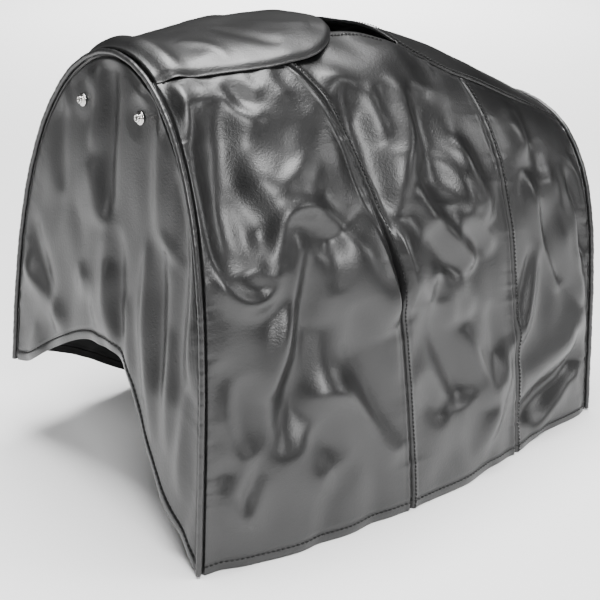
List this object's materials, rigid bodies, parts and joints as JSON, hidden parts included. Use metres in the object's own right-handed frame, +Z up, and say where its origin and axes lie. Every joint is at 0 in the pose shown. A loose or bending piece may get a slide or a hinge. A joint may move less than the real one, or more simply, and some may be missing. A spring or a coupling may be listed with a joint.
{
  "type": "twin gas cylinder cover",
  "caption": "Fitted black vinyl cover with arched ends, piped edges, sewn side gores, an end cut-out and a hinged roof access flap.",
  "frame": {"origin": "middle of the footprint, on the ground", "axes": "+X along the cover from the front end with the studs to the lower rear end, +Y across it to the far side, +Z up"},
  "size_m": [0.6333, 0.4958, 0.5297],
  "materials": {
    "vinyl": "black satin leatherette vinyl",
    "backing": "matte black woven backing",
    "elastic": "black woven elastic",
    "cord": "black piping cord",
    "nickel": "bright nickel plate"
  },
  "bodies": {
    "cover": {"front_end_panel": "vinyl", "rear_end_panel": "vinyl", "near_gore_front": "vinyl", "near_gore_middle": "vinyl", "near_gore_rear": "vinyl", "far_gore_front": "vinyl", "far_gore_middle": "vinyl", "far_gore_rear": "vinyl", "roof_strip": "vinyl", "front_piping_sleeve": "vinyl", "rear_piping_sleeve": "vinyl", "front_hem_band": "backing", "rear_hem_band": "backing", "near_hem_band": "backing", "far_hem_band": "backing", "opening_binding_near": "backing", "opening_binding_far": "backing", "opening_binding_rear": "backing", "stud_backing_strip": "backing", "front_hem_elastic": "elastic", "front_piping_core": "cord", "rear_piping_core": "cord", "near_snap_stud": "nickel", "far_snap_stud": "nickel", "near_stud_rivet": "nickel", "far_stud_rivet": "nickel"},
    "flap": {"access_flap": "vinyl", "access_flap_lining": "backing", "flap_snap_cap": "nickel", "flap_snap_socket": "nickel"}
  },
  "joints": [
    {"name": "flap_hinge", "type": "hinge", "parent": "cover", "child": "flap", "pos_m": [-0.258, 0, 0.512], "axis": [0, -1, 0], "range_deg": [0, 120]}
  ]
}
